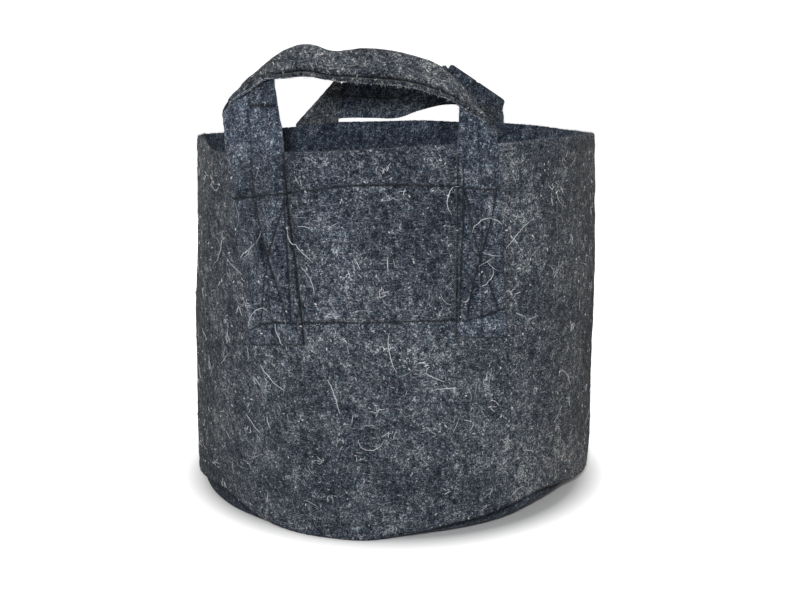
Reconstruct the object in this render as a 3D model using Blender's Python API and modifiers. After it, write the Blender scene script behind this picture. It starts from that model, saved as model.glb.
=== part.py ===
"""Fabric grow bag: a round felt pot with two strap handles sewn to its wall.

Metres, +Z up. The origin is the centre of the underside, and the front handle faces -Y.
Angles round the bag are in degrees, from the front (-Y) towards +X.
"""

import math

import bmesh
import bpy

# Driving dimensions
BAG_RADIUS = 0.200
BAG_HEIGHT = 0.350
FELT = 0.003  # one layer of needle-punched felt
STRAP = 0.005  # a strap is felt folded to two layers
GAP = 0.0005  # clearance between pieces that lie on each other
THREAD_RADIUS = 0.0005

# Base: a flat disc whose rounded margin narrows to the underside
BASE_RADIUS = 0.199
UNDERSIDE_RADIUS = 0.193
WALL_FOOT = FELT + GAP

# Wall: a circle that comes to a packing crease at each side, sharpest at the rim
CREASE_ANGLE = 90
CREASE_SLOPE = 0.42
CREASE_SPREAD = 0.18
WALL_COLUMNS = 96
WALL_ROWS = 4

# Stitch lines that hold a handle's legs to the wall
UPPER_LINE = 0.3195
UPPER_DROP = 0.0165  # how far the upper line falls at the handle's far leg
UPPER_PEAK_ANGLE = 8
UPPER_HALF_SPAN = 46.5
LOWER_LINE = 0.2005
LOWER_SLOPE = 0.0002  # metres a degree
LINE_INSET = 0.003  # from a leg's outer edge to the end of a stitch line

# Legs: centre angles and widths at the top and the foot, angles from the handle's own side
LEG_TOP = 0.3512
LEG_FOOT = 0.178
LEG_COLUMNS = 8
LEG_ROWS = 6
LEGS = {
    "front_left": {"top": (-30.4, 0.066), "foot": (-23.6, 0.062), "outer": -1},
    "front_right": {"top": (27.9, 0.038), "foot": (29.6, 0.050), "outer": 1},
    "back_left": {"top": (-23.9, 0.050), "foot": (-25.0, 0.050), "outer": -1},
    "back_right": {"top": (33.7, 0.050), "foot": (32.0, 0.050), "outer": 1},
}
SIDE_ANGLE = {"front": 0, "back": 180}

# Handle hinges: the line just above the rim where each strap flexes
HINGE_HEIGHT = 0.356
HINGE_Y = {"front": -0.181, "back": 0.183}
GRIP_FOOT = HINGE_HEIGHT - 0.0017

# Grip outlines seen from the handle's own side, as (across, height) from foot to foot
FRONT_GRIP_OUTLINE = [
    (-0.124, GRIP_FOOT), (-0.124, 0.376), (-0.117, 0.395), (-0.106, 0.408), (-0.086, 0.421),
    (-0.063, 0.434), (-0.044, 0.435), (-0.030, 0.431), (0.000, 0.433), (0.038, 0.427),
    (0.063, 0.417), (0.091, 0.392), (0.106, 0.371), (0.112, GRIP_FOOT),
    (0.078, GRIP_FOOT), (0.078, 0.381), (0.054, 0.397), (0.035, 0.402), (0.000, 0.406),
    (-0.054, 0.408), (-0.078, 0.404), (-0.075, GRIP_FOOT),
]
# Both layers of the folded strap along the front grip, a little inside the outline above
FRONT_ROLL_OUTLINE = [
    (-0.112, 0.396), (-0.104, 0.407), (-0.085, 0.419), (-0.062, 0.432), (-0.044, 0.433),
    (-0.030, 0.429), (0.000, 0.431), (0.037, 0.425), (0.062, 0.415), (0.089, 0.391),
    (0.085, 0.385), (0.055, 0.399), (0.035, 0.404), (0.000, 0.408), (-0.054, 0.410),
    (-0.080, 0.406),
]
ROLL_THICKNESS = 0.010
BACK_GRIP_OUTLINE = [
    (-0.104, GRIP_FOOT), (-0.103, 0.376), (-0.094, 0.386), (-0.066, 0.403), (-0.038, 0.414),
    (-0.020, 0.416), (0.020, 0.412), (0.060, 0.407), (0.094, 0.399), (0.134, 0.358),
    (0.134, GRIP_FOOT), (0.092, GRIP_FOOT), (0.090, 0.3595), (0.024, 0.3595), (-0.006, 0.369),
    (-0.041, 0.376), (-0.056, 0.372), (-0.058, GRIP_FOOT),
]

# One leg's stitching, one thread: (from outer -1 to inner 1, from lower line 0 to upper line 1)
LEG_PATTERN = [(-0.25, 0.93), (0.40, 0.06), (-0.50, 0.06), (0.74, 0.93), (0.90, 0.93), (0.66, 0.14)]
CROSSING_RUN = 2  # the run of the pattern that passes over the first
CROSSING_LIFT = 0.0016

# Seam threads inside the bag
BASE_SEAM_RADIUS = 0.1955
BASE_SEAM_HEIGHT = 0.0055
SIDE_SEAM_X = 0.1953
SIDE_SEAM_ENDS = (0.012, 0.344)

NAVY_FELT = (0.072, 0.079, 0.093)
GREY_FELT = (0.085, 0.089, 0.095)
DARK_THREAD = (0.012, 0.013, 0.016)


def clear_scene():
    for found in list(bpy.data.objects):
        bpy.data.objects.remove(found, do_unlink=True)


def new_collection(name):
    collection = bpy.data.collections.new(name)
    bpy.context.scene.collection.children.link(collection)
    return collection


def new_material(name, color, roughness):
    material = bpy.data.materials.new(name)
    material.use_nodes = True
    shader = material.node_tree.nodes["Principled BSDF"]
    shader.inputs["Base Color"].default_value = (*color, 1.0)
    shader.inputs["Roughness"].default_value = roughness
    shader.inputs["Metallic"].default_value = 0.0
    return material


def add_object(name, data, material, collection):
    data.materials.append(material)
    piece = bpy.data.objects.new(name, data)
    collection.objects.link(piece)
    return piece


def wall_radius(angle, height):
    """Outer radius of the wall."""
    wrapped = (angle + 180) % 360 - 180
    from_crease = math.radians(abs(abs(wrapped) - CREASE_ANGLE))
    dip = CREASE_SLOPE * from_crease * math.exp(-from_crease / CREASE_SPREAD)
    return BAG_RADIUS * (1 - dip * height / BAG_HEIGHT)


def on_wall(angle, height, out=0.0):
    """The point that stands `out` from the wall's outer face."""
    radius = wall_radius(angle, height) + out
    turn = math.radians(angle)
    return (radius * math.sin(turn), -radius * math.cos(turn), height)


def sheet_mesh(name, rows, closed):
    """An open sheet through rows of points, foot row first, facing away from the axis."""
    columns = len(rows[0])
    points = [point for row in rows for point in row]
    faces = []
    for row in range(len(rows) - 1):
        for column in range(columns if closed else columns - 1):
            following = (column + 1) % columns
            low, high = row * columns, (row + 1) * columns
            faces.append((low + column, low + following, high + following, high + column))
    mesh = bpy.data.meshes.new(name)
    mesh.from_pydata(points, [], faces)
    return mesh


def add_thickness(piece, thickness, offset):
    solidify = piece.modifiers.new("thickness", "SOLIDIFY")
    solidify.thickness = thickness
    solidify.offset = offset
    solidify.use_even_offset = True


def steps(start, end, count):
    return [start + (end - start) * index / count for index in range(count + 1)]


def build_wall(material, collection):
    turns = [360 * index / WALL_COLUMNS for index in range(WALL_COLUMNS)]
    heights = steps(WALL_FOOT, BAG_HEIGHT, WALL_ROWS)
    rows = [[on_wall(turn, height) for turn in turns] for height in heights]
    wall = add_object("wall_panel", sheet_mesh("wall_panel", rows, True), material, collection)
    add_thickness(wall, FELT, -1)


def build_base(material, collection):
    disc = bmesh.new()
    bmesh.ops.create_cone(
        disc, cap_ends=True, segments=WALL_COLUMNS,
        radius1=UNDERSIDE_RADIUS, radius2=BASE_RADIUS, depth=FELT,
    )
    mesh = bpy.data.meshes.new("base_disc")
    disc.to_mesh(mesh)
    disc.free()
    base = add_object("base_disc", mesh, material, collection)
    base.location = (0.0, 0.0, FELT / 2)


def leg_edge(leg, side_angle, height, across):
    """Angle of a place across a leg, from its outer edge -1 to its inner edge 1."""
    share = (height - LEG_FOOT) / (LEG_TOP - LEG_FOOT)
    centre = leg["foot"][0] + (leg["top"][0] - leg["foot"][0]) * share
    width = leg["foot"][1] + (leg["top"][1] - leg["foot"][1]) * share
    half_angle = math.degrees(width / 2 / BAG_RADIUS)
    return side_angle + centre - across * leg["outer"] * half_angle


def build_leg(name, side_angle, material, collection):
    leg = LEGS[name]
    left_to_right = -leg["outer"]
    rows = []
    for height in steps(LEG_FOOT, LEG_TOP, LEG_ROWS):
        shares = [left_to_right * share for share in steps(-1, 1, LEG_COLUMNS)]
        angles = [leg_edge(leg, side_angle, height, share) for share in shares]
        rows.append([on_wall(angle, height, GAP) for angle in angles])
    node = name + "_handle_leg"
    piece = add_object(node, sheet_mesh(node, rows, False), material, collection)
    add_thickness(piece, STRAP, 1)


def flat_plate(name, outline, thickness, side, material, collection):
    """A plate standing in a plane across the bag, seen right way round from its own side."""
    curve = bpy.data.curves.new(name, "CURVE")
    curve.dimensions = "2D"
    curve.fill_mode = "BOTH"
    curve.extrude = thickness / 2
    spline = curve.splines.new("POLY")
    spline.points.add(len(outline) - 1)
    for point, (across, height) in zip(spline.points, outline):
        point.co = (across, height, 0.0, 1.0)
    spline.use_cyclic_u = True
    plate = add_object(name, curve, material, collection)
    plate.rotation_euler = (math.radians(90), 0.0, math.radians(SIDE_ANGLE[side]))
    plate.location = (0.0, HINGE_Y[side], 0.0)
    return plate


def as_mesh(curve_object):
    """The same object as a welded mesh, which a Boolean can use."""
    name = curve_object.name
    bpy.context.view_layer.update()
    place = curve_object.matrix_world.copy()
    depsgraph = bpy.context.evaluated_depsgraph_get()
    mesh = bpy.data.meshes.new_from_object(curve_object.evaluated_get(depsgraph))
    collection = curve_object.users_collection[0]
    bpy.data.objects.remove(curve_object, do_unlink=True)
    solid = bmesh.new()
    solid.from_mesh(mesh)
    bmesh.ops.remove_doubles(solid, verts=solid.verts, dist=0.00001)
    solid.to_mesh(mesh)
    solid.free()
    piece = bpy.data.objects.new(name, mesh)
    piece.matrix_world = place
    collection.objects.link(piece)
    return piece


def build_front_grip(material, collection, cutters):
    plate = as_mesh(flat_plate("front_handle_grip", FRONT_GRIP_OUTLINE, STRAP, "front", material, collection))
    roll = as_mesh(flat_plate("front_roll", FRONT_ROLL_OUTLINE, ROLL_THICKNESS, "front", material, cutters))
    roll.hide_render = True
    roll.display_type = "WIRE"
    join = plate.modifiers.new("join_roll", "BOOLEAN")
    join.operation = "UNION"
    join.object = roll


def build_back_grip(material, collection):
    flat_plate("back_handle_grip", BACK_GRIP_OUTLINE, STRAP, "back", material, collection)


def thread(name, points, material, collection, cyclic=False):
    curve = bpy.data.curves.new(name, "CURVE")
    curve.dimensions = "3D"
    curve.bevel_depth = THREAD_RADIUS
    curve.bevel_resolution = 1
    curve.use_fill_caps = not cyclic
    spline = curve.splines.new("POLY")
    spline.points.add(len(points) - 1)
    for place, point in zip(spline.points, points):
        place.co = (*point, 1.0)
    spline.use_cyclic_u = cyclic
    return add_object(name, curve, material, collection)


def line_height(level, angle):
    """Height of a stitch line, at an angle from its handle's own side."""
    if level == "upper":
        return UPPER_LINE - UPPER_DROP * ((angle - UPPER_PEAK_ANGLE) / UPPER_HALF_SPAN) ** 2
    return LOWER_LINE + LOWER_SLOPE * angle


ON_WALL = GAP + THREAD_RADIUS
ON_LEG = GAP + STRAP + GAP + THREAD_RADIUS
STEP_CLEARANCE = math.degrees(0.0015 / BAG_RADIUS)


def build_line(side, level, material, collection):
    """A stitch line over one leg, down to the wall, along it, and up over the other leg."""
    left, right = LEGS[side + "_left"], LEGS[side + "_right"]
    nominal = UPPER_LINE if level == "upper" else LOWER_LINE
    inset = math.degrees(LINE_INSET / BAG_RADIUS)
    start = leg_edge(left, 0, nominal, -1) + inset
    left_step = leg_edge(left, 0, nominal, 1) + STEP_CLEARANCE
    right_step = leg_edge(right, 0, nominal, 1) - STEP_CLEARANCE
    end = leg_edge(right, 0, nominal, -1) - inset
    run = [(angle, ON_LEG) for angle in steps(start, left_step, 6)]
    run += [(angle, ON_WALL) for angle in steps(left_step, right_step, 14)]
    run += [(angle, ON_LEG) for angle in steps(right_step, end, 6)]
    turn = SIDE_ANGLE[side]
    points = [on_wall(turn + angle, line_height(level, angle), out) for angle, out in run]
    thread(side + "_handle_" + level + "_stitch_line", points, material, collection)


def build_leg_stitching(name, side_angle, material, collection):
    leg = LEGS[name]
    points = []
    for run, (start, end) in enumerate(zip(LEG_PATTERN, LEG_PATTERN[1:])):
        long_run = abs(end[1] - start[1]) > 0.5
        count = 12 if long_run else 2
        for step in range(count):
            share = (step + 0.5) / count
            across = start[0] + (end[0] - start[0]) * share
            level = start[1] + (end[1] - start[1]) * share
            height = LOWER_LINE + (UPPER_LINE - LOWER_LINE) * level
            angle = leg_edge(leg, 0, height, across)
            lower = line_height("lower", angle)
            height = lower + (line_height("upper", angle) - lower) * level
            lift = CROSSING_LIFT * math.sin(math.pi * share) if run == CROSSING_RUN else 0.0
            points.append(on_wall(side_angle + angle, height, ON_LEG + lift))
    thread(name + "_leg_stitching", points, material, collection)


def build_seams(material, collection):
    ring = []
    for index in range(WALL_COLUMNS):
        turn = math.tau * index / WALL_COLUMNS
        x, y = BASE_SEAM_RADIUS * math.cos(turn), BASE_SEAM_RADIUS * math.sin(turn)
        ring.append((x, y, BASE_SEAM_HEIGHT))
    thread("base_seam_thread", ring, material, collection, cyclic=True)
    side = [(SIDE_SEAM_X, 0.0, height) for height in steps(*SIDE_SEAM_ENDS, 8)]
    thread("side_seam_thread", side, material, collection)


def main():
    clear_scene()
    bag = new_collection("fabric_grow_bag")
    cutters = new_collection("cutters")
    body_felt = new_material("body_felt", NAVY_FELT, 0.95)
    strap_felt = new_material("strap_felt", GREY_FELT, 0.95)
    sewing_thread = new_material("sewing_thread", DARK_THREAD, 0.7)
    build_wall(body_felt, bag)
    build_base(body_felt, bag)
    for name in LEGS:
        side = name.split("_")[0]
        build_leg(name, SIDE_ANGLE[side], strap_felt, bag)
        build_leg_stitching(name, SIDE_ANGLE[side], sewing_thread, bag)
    build_front_grip(strap_felt, bag, cutters)
    build_back_grip(strap_felt, bag)
    for side in SIDE_ANGLE:
        for level in ("upper", "lower"):
            build_line(side, level, sewing_thread, bag)
    build_seams(sewing_thread, bag)


main()
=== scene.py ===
"""Fabric grow bag: the visual model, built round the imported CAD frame.

Metres, +Z up, the origin at the centre of the underside, the front handle towards -Y.
Angles round the bag are in degrees, from the front (-Y) towards +X.
"""

import math

import bpy
import numpy as np
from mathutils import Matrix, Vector
from mathutils.bvhtree import BVHTree


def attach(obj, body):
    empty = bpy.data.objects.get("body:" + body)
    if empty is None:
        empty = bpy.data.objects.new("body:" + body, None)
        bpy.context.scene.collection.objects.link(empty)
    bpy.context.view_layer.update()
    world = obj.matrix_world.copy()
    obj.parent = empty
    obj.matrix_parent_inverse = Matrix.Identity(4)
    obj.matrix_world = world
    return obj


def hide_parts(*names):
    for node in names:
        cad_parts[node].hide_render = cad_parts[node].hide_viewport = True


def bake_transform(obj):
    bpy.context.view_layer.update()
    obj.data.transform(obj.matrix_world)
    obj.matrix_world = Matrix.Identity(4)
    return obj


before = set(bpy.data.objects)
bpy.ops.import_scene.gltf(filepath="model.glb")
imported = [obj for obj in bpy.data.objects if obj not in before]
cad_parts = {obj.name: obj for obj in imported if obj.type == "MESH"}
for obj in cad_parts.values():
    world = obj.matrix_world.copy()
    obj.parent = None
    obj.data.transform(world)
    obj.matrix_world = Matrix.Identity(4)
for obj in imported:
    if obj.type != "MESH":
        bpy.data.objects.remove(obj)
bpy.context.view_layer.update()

# The bag
RADIUS = 0.200
HEIGHT = 0.350
FELT = 0.003  # one layer
STRAP = 0.0055  # a strap's two layers together
GAP = 0.0005  # between a leg and the wall
# The two side creases: their angle, how sharply the wall falls in beside them, and over how many radians
CREASE_ANGLE, CREASE_SLOPE, CREASE_SPREAD = 90, 0.42, 0.18
# Where the wall bellies out: middle angle, spread, distance, the height where it ends, and its fade
BELLIES = [(-80, 34, 0.0062, 0.335, 0.17), (87, 32, 0.0044, 0.335, 0.10)]
FLARE_RISE = 0.022  # how fast the foot's flare dies away upwards
EDGE_PULL, EDGE_RISE = 0.0010, 0.010  # how far the seam draws the lower edge in, and over what height

# Heights round the bag, as (angle, height): the rim, the wall's lower edge, the base's turned-up corner
RIM = [
    (-105, 0.3470), (-75, 0.3505), (-58, 0.3520), (-52, 0.3440), (-47, 0.3412), (-40, 0.3425),
    (-21, 0.3456), (-5, 0.3484),
    (2, 0.3500), (9, 0.3520), (16, 0.3530), (23, 0.3540), (36, 0.3536), (50, 0.3556),
    (66, 0.3545), (90, 0.3525), (118, 0.3500), (132, 0.3515), (149, 0.3527), (166, 0.3522),
    (178, 0.3537), (193, 0.3522), (208, 0.3520), (220, 0.3480), (235, 0.3470),
]
WALL_EDGE = [
    (-105, 0.0090), (-80, 0.0100), (-64, 0.0130), (-56, 0.0165), (-46, 0.0185), (-38, 0.0110), (-26, 0.0015),
    (4, 0.0015), (12, 0.0060), (22, 0.0130), (31, 0.0165), (38, 0.0200), (49, 0.0285),
    (62, 0.0235), (80, 0.0150), (110, 0.0100), (150, 0.0050), (180, 0.0080), (220, 0.0060),
]
BASE_TURN = [
    (-110, 0.0030), (-80, 0.0030), (-53, 0.0010), (-25, 0.0000), (3, 0.0000), (9, 0.0020),
    (18, 0.0050), (28, 0.0070), (39, 0.0095), (48, 0.0150), (53, 0.0170), (66, 0.0190),
    (79, 0.0120), (110, 0.0040), (150, 0.0010), (200, 0.0020),
]
# How far the foot flares out, as (angle, distance)
FLARE = [
    (-110, 0.0), (-80, 0.0020), (-58, 0.0032), (-42, 0.0026), (-28, 0.0018), (-20, 0.0055), (-2, 0.0065),
    (6, 0.0020), (14, 0.0), (180, 0.0),
]

# Stitching, as (angle, height); the legs' edges, as (height, angle)
FRONT_UPPER = [(-38, 0.302), (-20, 0.311), (0, 0.320), (18, 0.319), (34, 0.314)]
FRONT_LOWER = [(-32, 0.185), (-28, 0.192), (-14, 0.198), (10, 0.202), (28, 0.204), (36, 0.210)]
FRONT_LEFT_RUNS = [
    [(-31, 0.322), (-27, 0.272), (-20, 0.202)],
    [(-20, 0.306), (-25, 0.256), (-28, 0.196)],
    [(-20, 0.338), (-20, 0.280), (-19, 0.200)],
]
FRONT_RIGHT_RUNS = [
    [(33.0, 0.316), (31.6, 0.290), (29.2, 0.262), (27.0, 0.235), (25.4, 0.204)],
    [(24.4, 0.316), (26.0, 0.290), (28.2, 0.262), (31.0, 0.235), (33.8, 0.208)],
    [(24.0, 0.338), (24.0, 0.287), (23.7, 0.250), (23.6, 0.204)],
]
FRONT_LEFT_OUTER = [(0.170, -32), (0.190, -33), (0.350, -40)]
FRONT_LEFT_INNER = [(0.175, -15), (0.300, -19), (0.350, -20)]
FRONT_RIGHT_OUTER = [(0.175, 37), (0.260, 35), (0.355, 33)]
FRONT_RIGHT_INNER = [(0.180, 22.5), (0.355, 22.5)]
BACK_UPPER = [(147, 0.3095), (160, 0.3145), (175, 0.3190), (188, 0.3195), (203, 0.3170), (219, 0.3095)]
BACK_LOWER = [(149, 0.194), (168, 0.1985), (195, 0.2035), (219, 0.2080)]
BACK_LEFT_RUNS = [
    [(149.8, 0.311), (151.6, 0.285), (155.0, 0.255), (158.2, 0.226), (160.6, 0.197)],
    [(160.8, 0.314), (159.0, 0.285), (155.6, 0.255), (152.0, 0.226), (149.4, 0.195)],
    [(161.6, 0.338), (161.6, 0.287), (161.4, 0.250), (161.8, 0.198)],
]
BACK_RIGHT_RUNS = [
    [(219.4, 0.310), (217.2, 0.285), (213.6, 0.256), (209.6, 0.228), (206.6, 0.206)],
    [(208.2, 0.315), (209.8, 0.285), (213.0, 0.256), (216.6, 0.228), (218.0, 0.208)],
    [(207.6, 0.338), (207.2, 0.287), (206.4, 0.250), (205.6, 0.205)],
]
BACK_LEFT_OUTER = [(0.178, 147.8), (0.350, 149.4)]
BACK_LEFT_INNER = [(0.178, 162.2), (0.350, 163.3)]
BACK_RIGHT_OUTER = [(0.178, 219.2), (0.350, 220.9)]
BACK_RIGHT_INNER = [(0.178, 204.8), (0.350, 206.5)]
# Each leg's outer and inner edges, and the heights of its foot's two corners and of its top
FRONT_LEFT_LEG = (FRONT_LEFT_OUTER, FRONT_LEFT_INNER, 0.171, 0.179, 0.350)
FRONT_RIGHT_LEG = (FRONT_RIGHT_OUTER, FRONT_RIGHT_INNER, 0.183, 0.188, 0.350)
BACK_LEFT_LEG = (BACK_LEFT_OUTER, BACK_LEFT_INNER, 0.178, 0.178, 0.348)
BACK_RIGHT_LEG = (BACK_RIGHT_OUTER, BACK_RIGHT_INNER, 0.178, 0.178, 0.332)

# Strap sections above the rim: outer edge, fold, inner edge
FRONT_SECTIONS = [
    [(-0.1303, -0.1580, 0.3620), None, (-0.0715, -0.1895, 0.3640)],
    [(-0.1300, -0.1620, 0.3745), (-0.1290, -0.1622, 0.3785), (-0.0740, -0.1885, 0.3770)],
    [(-0.1190, -0.1770, 0.3880), (-0.1215, -0.1670, 0.3890), (-0.0765, -0.1865, 0.3930)],
    [(-0.0990, -0.1950, 0.3985), (-0.1065, -0.1740, 0.4035), (-0.0785, -0.1840, 0.4050)],
    [(-0.0840, -0.2020, 0.4075), (-0.0870, -0.1790, 0.4180), (-0.0765, -0.1780, 0.4120)],
    [(-0.0660, -0.2050, 0.4085), (-0.0660, -0.1830, 0.4325), (-0.0640, -0.1680, 0.4135)],
    [(-0.0480, -0.2055, 0.4100), (-0.0490, -0.1845, 0.4365), (-0.0480, -0.1670, 0.4150)],
    [(-0.0270, -0.2060, 0.4072), (-0.0290, -0.1850, 0.4305), (-0.0280, -0.1660, 0.4130)],
    [(0.0010, -0.2070, 0.4048), (0.0000, -0.1850, 0.4330), (0.0000, -0.1650, 0.4130)],
    [(0.0370, -0.2060, 0.4020), (0.0370, -0.1850, 0.4275), (0.0350, -0.1670, 0.4095)],
    [(0.0570, -0.2045, 0.3970), (0.0620, -0.1840, 0.4185), (0.0560, -0.1680, 0.4010)],
    [(0.0750, -0.2020, 0.3905), (0.0780, -0.1820, 0.4035), (0.0700, -0.1710, 0.4000)],
    [(0.0885, -0.1970, 0.3815), (0.0905, -0.1790, 0.3885), (0.0772, -0.1750, 0.3930)],
    [(0.1000, -0.1870, 0.3735), (0.1005, -0.1750, 0.3745), (0.0784, -0.1805, 0.3800)],
    [(0.1085, -0.1740, 0.3630), (0.1075, -0.1725, 0.3640), (0.0785, -0.1850, 0.3640)],
]
# The back strap: up from its left leg to a diagonal crease, along the band, and down at the other crease
BACK_FIRST_RISE = [[(0.1034, 0.1765, 0.3590), (0.0810, 0.1875, 0.3640), (0.0560, 0.1965, 0.3720)]]
BACK_FIRST_CREASE = [(0.1014, 0.1770, 0.3728), (0.0695, 0.1900, 0.3933), (0.0382, 0.1985, 0.4135)]
BACK_BAND = [
    [(0.0800, 0.1830, 0.3715), (0.0570, 0.1905, 0.3940), (0.0330, 0.1950, 0.4165)],
    [(0.0560, 0.1890, 0.3720), (0.0420, 0.1930, 0.3950), (0.0300, 0.1960, 0.4155)],
    [(0.0360, 0.1925, 0.3720), (0.0290, 0.1945, 0.3960), (0.0200, 0.1940, 0.4160)],
    [(0.0060, 0.1945, 0.3655), (0.0050, 0.1965, 0.3920), (0.0040, 0.1930, 0.4135)],
    [(-0.0230, 0.1940, 0.3560), (-0.0225, 0.1965, 0.3815), (-0.0210, 0.1930, 0.4040)],
    [(-0.0530, 0.1925, 0.3560), (-0.0500, 0.1950, 0.3810), (-0.0450, 0.1930, 0.4045)],
    [(-0.0880, 0.1895, 0.3555), (-0.0800, 0.1925, 0.3800), (-0.0640, 0.1935, 0.4050)],
    [(-0.1080, 0.1800, 0.3525), (-0.0960, 0.1885, 0.3770), (-0.0760, 0.1940, 0.4035)],
]
BACK_LAST_CREASE = [(-0.1330, 0.1578, 0.3455), (-0.1110, 0.1752, 0.3717), (-0.0893, 0.1868, 0.3978)]
BACK_LAST_RISE = [
    [(-0.1325, 0.1545, 0.3410), None, (-0.0900, 0.1828, 0.3760)],
    [(-0.1318, 0.1545, 0.3370), None, (-0.0905, 0.1822, 0.3550)],
]

tau = math.tau


# Shapes

ANGLE_TABLE = np.arange(0, 360, 0.5)
LINE_STEP = 0.001  # between the points along a stitch line


def bell(distance, width):
    return np.exp(-((distance / width) ** 2))


def rising(value, start, length):
    """0 up to the start, then evenly up to 1."""
    return np.clip((value - start) / length, 0, 1)


def falling(value, end, length):
    """1, then evenly down to 0 at the end."""
    return np.clip((end - value) / length, 0, 1)


def ring(knots, blur):
    """A smooth function of the angle, round the bag, through (angle, value) knots."""
    angles, values = zip(*knots)
    raw = np.interp(ANGLE_TABLE, angles, values, period=360)
    away = (ANGLE_TABLE + 180) % 360 - 180
    kernel = np.exp(-0.5 * (away / blur) ** 2)
    smooth = np.real(np.fft.ifft(np.fft.fft(raw) * np.fft.fft(kernel / kernel.sum())))
    return lambda angle: np.interp(angle, ANGLE_TABLE, smooth, period=360)


rim_height = ring(RIM, 2.2)
wall_edge = ring(WALL_EDGE, 2.5)
base_turn = ring(BASE_TURN, 2.5)
flare = ring(FLARE, 3.0)


def waves(seed, count, turns, rises):
    """Seeded undulation of about unit size, periodic in the angle."""
    rng = np.random.default_rng(seed)
    terms = []
    for _ in range(count):
        terms.append((rng.integers(*turns), rng.uniform(*rises), *rng.uniform(0, tau, 2), rng.normal()))

    def value(angle, height):
        turn = np.radians(angle)
        total = 0.0
        for times, rise, first, second, size in terms:
            total = total + size * np.cos(times * turn + first) * np.cos(rise * height + second)
        return total * 2 / math.sqrt(count)

    return value


broad = waves(11, 10, (2, 9), (4, 16))
dents = waves(12, 26, (7, 26), (12, 50))
fine = waves(13, 60, (60, 190), (90, 420))
fray = waves(14, 60, (60, 420), (0, 1))


def wall_radius(angle, height):
    """Outer radius of the wall, without its stitch grooves."""
    wrapped = (np.asarray(angle, float) + 180) % 360 - 180
    from_crease = np.radians(np.abs(np.abs(wrapped) - CREASE_ANGLE))
    dip = CREASE_SLOPE * from_crease * np.exp(-from_crease / CREASE_SPREAD)
    radius = RADIUS * (1 - dip * np.clip(height, 0, HEIGHT) / HEIGHT)
    radius = radius + 0.0009 * broad(angle, height) + 0.0005 * dents(angle, height)
    for middle, spread, out, top, fade in BELLIES:
        radius = radius + out * bell(wrapped - middle, spread) * falling(height, top, fade)
    radius = radius + flare(angle) * np.exp(-np.clip(height, 0, 1) / FLARE_RISE)
    return radius - EDGE_PULL * np.exp(-np.clip(height - wall_edge(angle), 0, 1) / EDGE_RISE)


def place(angle, radius, height):
    turn = np.radians(angle)
    return np.stack([radius * np.sin(turn), -radius * np.cos(turn), height + 0 * turn], axis=-1)


def spline(keys, spacing):
    """Rows through key rows, no further apart than `spacing`, as a cubic through each column."""
    keys = np.asarray(keys, float)
    flat = keys.reshape(len(keys), -1, keys.shape[-1])
    chords = np.linalg.norm(np.diff(flat, axis=0), axis=2)
    times = np.concatenate([[0], np.cumsum(chords.mean(1))])
    slopes = np.gradient(keys, times, axis=0)
    rows, marks = [], []
    for index, longest in enumerate(chords.max(1)):
        count = max(1, math.ceil(longest / spacing))
        span = times[index + 1] - times[index]
        for step in range(count):
            t = step / count
            rows.append(
                keys[index] * (2 * t**3 - 3 * t**2 + 1) + keys[index + 1] * (3 * t**2 - 2 * t**3)
                + slopes[index] * span * (t**3 - 2 * t**2 + t) + slopes[index + 1] * span * (t**3 - t**2)
            )
            marks.append(times[index] + span * t)
    rows.append(keys[-1])
    marks.append(times[-1])
    return np.array(rows), np.array(marks)


def unrolled(line):
    """A stitch line as close points of (arc length, height)."""
    points = np.array([(RADIUS * math.radians(angle), height) for angle, height in line])
    return spline(points[:, None, :], LINE_STEP)[0][:, 0, :]


FRONT_LINES = {
    "front_handle_upper_stitch_line": [FRONT_UPPER],
    "front_handle_lower_stitch_line": [FRONT_LOWER],
    "front_left_leg_stitching": FRONT_LEFT_RUNS,
    "front_right_leg_stitching": FRONT_RIGHT_RUNS,
}
BACK_LINES = {
    "back_handle_upper_stitch_line": [BACK_UPPER],
    "back_handle_lower_stitch_line": [BACK_LOWER],
    "back_left_leg_stitching": BACK_LEFT_RUNS,
    "back_right_leg_stitching": BACK_RIGHT_RUNS,
}
LINES = {**FRONT_LINES, **BACK_LINES}
DRAWN_REACH = 0.025  # how far from a line its stitching still moves the felt
PUCKER = 0.0085  # length of one pucker along a line


def grooves(angle, height, names):
    """How far stitching draws the felt in, in metres, and how much of a place the crease shades."""
    angle = np.asarray(angle, float)
    arc = RADIUS * np.radians((angle + 90) % 360 - 90)
    depth, shade = np.zeros(arc.shape), np.zeros(arc.shape)
    for line in [line for name in names for line in LINES[name]]:
        points = unrolled(line)
        low, high = points.min(0) - DRAWN_REACH, points.max(0) + DRAWN_REACH
        near = (arc > low[0]) & (arc < high[0]) & (height > low[1]) & (height < high[1])
        if not near.any():
            continue
        here = np.stack([arc[near], height[near]], axis=-1)
        gaps = np.linalg.norm(here[:, None, :] - points[None, :, :], axis=2)
        nearest = gaps.argmin(1)
        away = gaps.min(1)
        beat = np.sin(nearest * LINE_STEP * tau / PUCKER + 3 * np.sin(nearest * 0.05))
        drawn = 0.0014 * bell(away, 0.0016) + 0.0007 * bell(away, 0.006)
        drawn += 0.00022 * beat * bell(away, 0.007)
        drawn -= 0.0006 * bell(away - 0.008, 0.006)
        depth[near] = np.where(np.abs(drawn) > np.abs(depth[near]), drawn, depth[near])
        # Painted shade along the line
        shade[near] = np.maximum(shade[near], 0.88 * bell(away, 0.0010))
    return depth, shade


# Meshes

def grid_faces(rows, columns, closed_rows, closed_columns):
    faces = []
    for row in range(rows if closed_rows else rows - 1):
        above = (row + 1) % rows
        for column in range(columns if closed_columns else columns - 1):
            beside = (column + 1) % columns
            faces.append((
                row * columns + column, row * columns + beside,
                above * columns + beside, above * columns + column,
            ))
    return faces


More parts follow.
